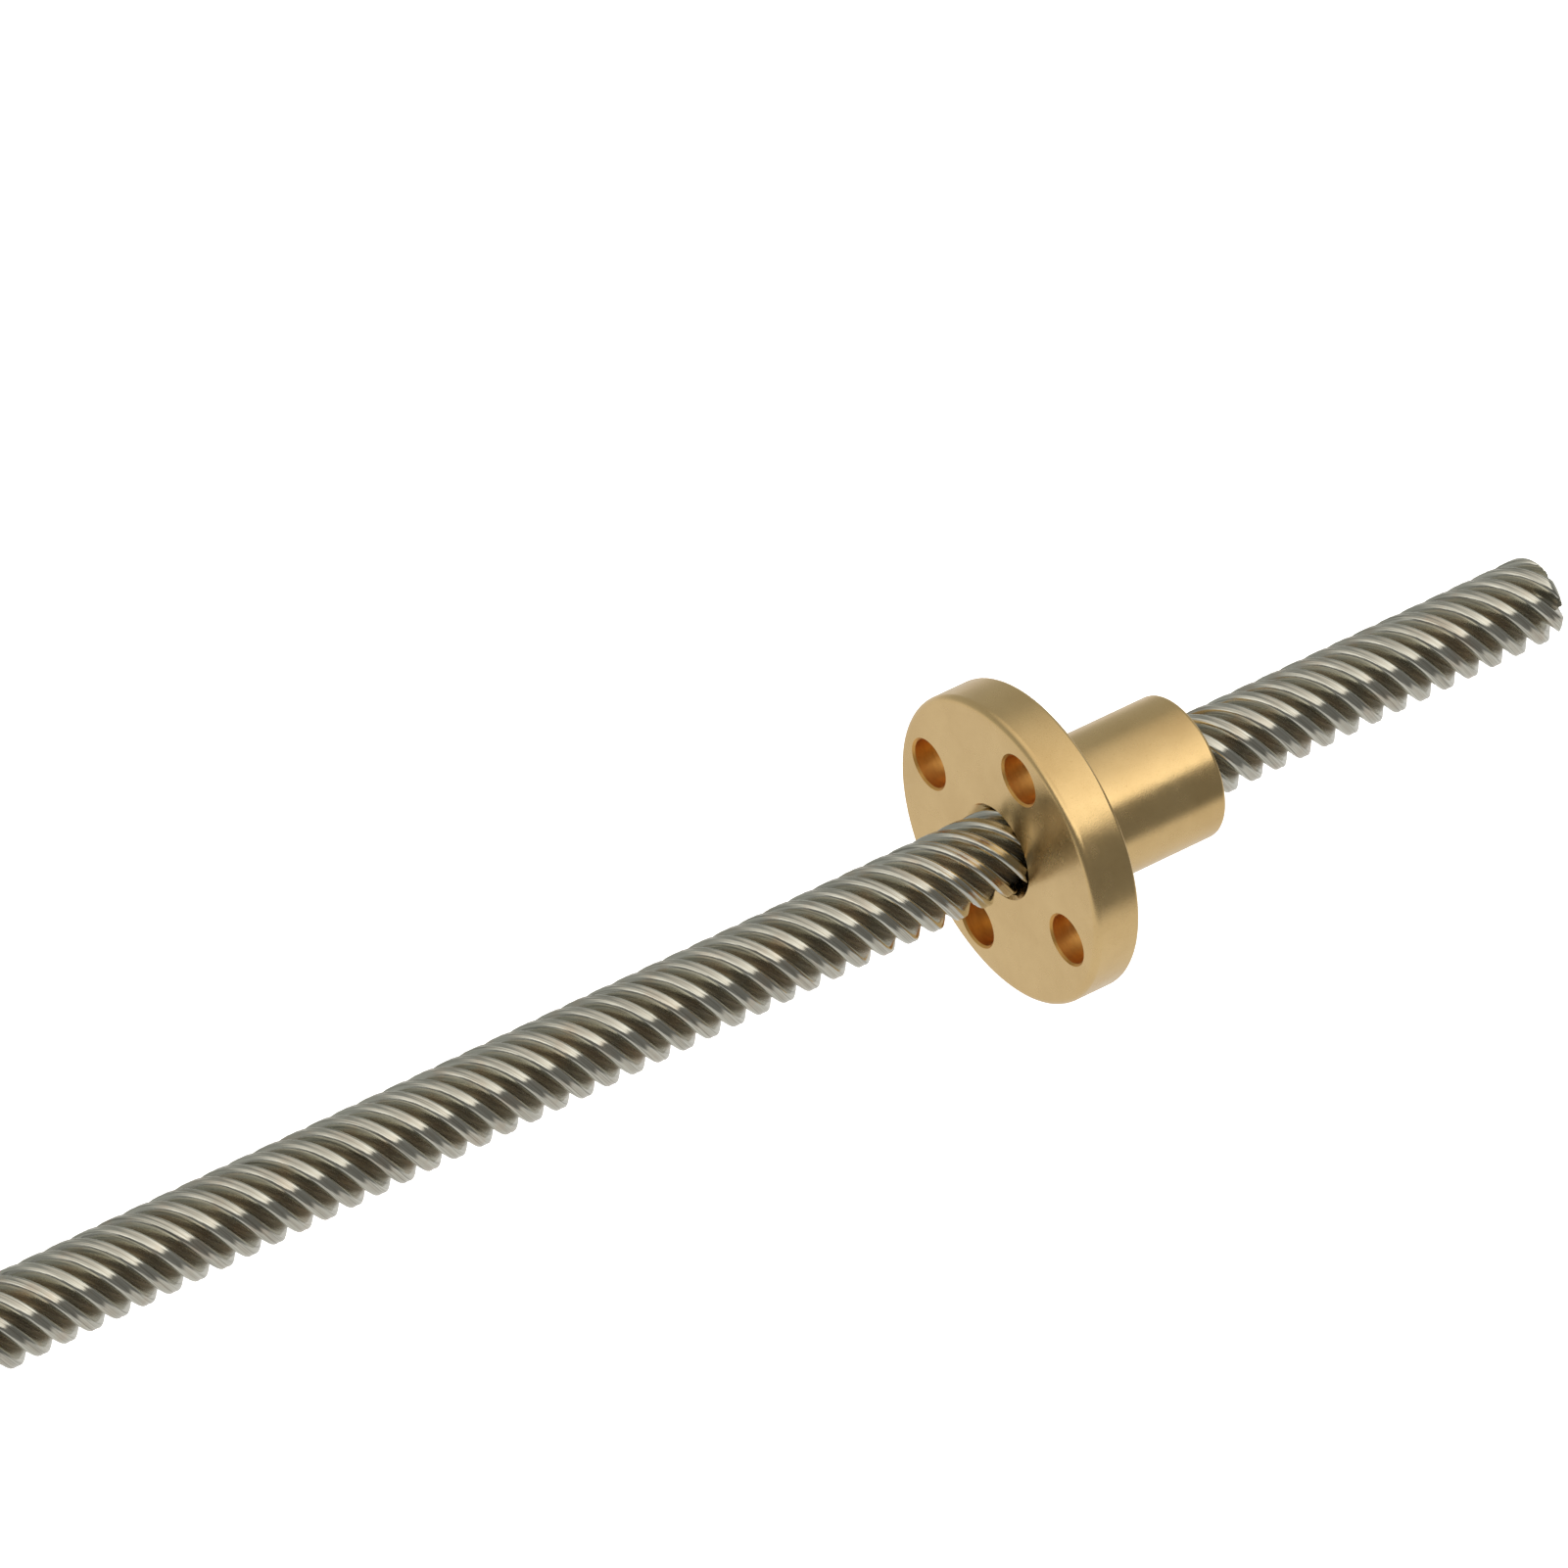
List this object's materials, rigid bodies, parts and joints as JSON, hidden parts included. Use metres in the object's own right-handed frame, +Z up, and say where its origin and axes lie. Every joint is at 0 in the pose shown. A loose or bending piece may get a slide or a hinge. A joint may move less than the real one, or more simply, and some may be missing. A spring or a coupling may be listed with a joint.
{
  "type": "stepper motor with lead screw",
  "caption": "Square hybrid stepper motor whose shaft is a multi-start steel lead screw, with a flanged brass nut that travels as the screw turns.",
  "frame": {"origin": "centre of the motor's mounting face, on the screw's axis", "axes": "+X along the screw away from the motor, +Z up with the motor lying on its flat side, +Y across; the plug socket faces -Y"},
  "size_m": [0.198, 0.0461, 0.0424],
  "materials": {
    "cast_aluminium": "die-cast, fine satin",
    "core_black": "black varnished laminations",
    "screw_steel": "rolled thread, satin sheen with an oily residue in the grooves",
    "nut_brass": "turned and drilled, satin",
    "rotor_steel": "ground laminations",
    "magnet": "nickel-grey, matte",
    "bearing_steel": "ground and polished",
    "shield_steel": "pressed sheet",
    "zinc_steel": "zinc-plated",
    "spring_steel": "blued spring steel",
    "copper_winding": "enamelled copper wire",
    "former_nylon": "moulded, glass-filled",
    "board_laminate": "solder-masked board",
    "header_nylon": "moulded, off-white",
    "tinned_pin": "tinned"
  },
  "bodies": {
    "motor_frame": {"front_end_bell": "cast_aluminium", "rear_end_bell": "cast_aluminium", "stator_core": "core_black", "assembly_screws": "zinc_steel", "front_coil_former": "former_nylon", "rear_coil_former": "former_nylon", "phase_a_coils": "copper_winding", "phase_b_coils": "copper_winding", "front_bearing_outer_ring": "bearing_steel", "front_bearing_shields": "shield_steel", "rear_bearing_outer_ring": "bearing_steel", "rear_bearing_shields": "shield_steel", "wave_washer": "spring_steel", "terminal_board": "board_laminate", "header_housing": "header_nylon", "header_pins": "tinned_pin"},
    "rotor": {"lead_screw": "screw_steel", "front_rotor_cup": "rotor_steel", "rear_rotor_cup": "rotor_steel", "rotor_magnet": "magnet", "front_spacer": "zinc_steel", "rear_spacer": "zinc_steel", "thrust_collar": "zinc_steel", "retaining_ring": "spring_steel", "front_bearing_inner_ring": "bearing_steel", "rear_bearing_inner_ring": "bearing_steel"},
    "front_ball_set": {"front_bearing_balls": "bearing_steel", "front_bearing_cage": "shield_steel"},
    "rear_ball_set": {"rear_bearing_balls": "bearing_steel", "rear_bearing_cage": "shield_steel"},
    "travelling_nut": {"flanged_nut": "nut_brass"}
  },
  "joints": [
    {"name": "nut_travel", "type": "slide", "parent": "motor_frame", "child": "travelling_nut", "axis": [1, 0, 0], "range_m": [-0.096, 0.027]},
    {"name": "screw_spin", "type": "hinge", "parent": "motor_frame", "child": "rotor", "pos_m": [0, 0, 0], "axis": [1, 0, 0], "range_deg": [-815, 2885]},
    {"name": "front_cage_spin", "type": "hinge", "parent": "motor_frame", "child": "front_ball_set", "pos_m": [-0.0045, 0, 0], "axis": [1, 0, 0], "range_deg": [-302, 1061]},
    {"name": "rear_cage_spin", "type": "hinge", "parent": "motor_frame", "child": "rear_ball_set", "pos_m": [-0.0435, 0, 0], "axis": [1, 0, 0], "range_deg": [-302, 1061]}
  ],
  "couplings": [
    {"joint": "screw_spin", "follows": "nut_travel", "rad_per_m": -523.6},
    {"joint": "front_cage_spin", "follows": "nut_travel", "rad_per_m": -191.99},
    {"joint": "rear_cage_spin", "follows": "nut_travel", "rad_per_m": -191.99}
  ]
}
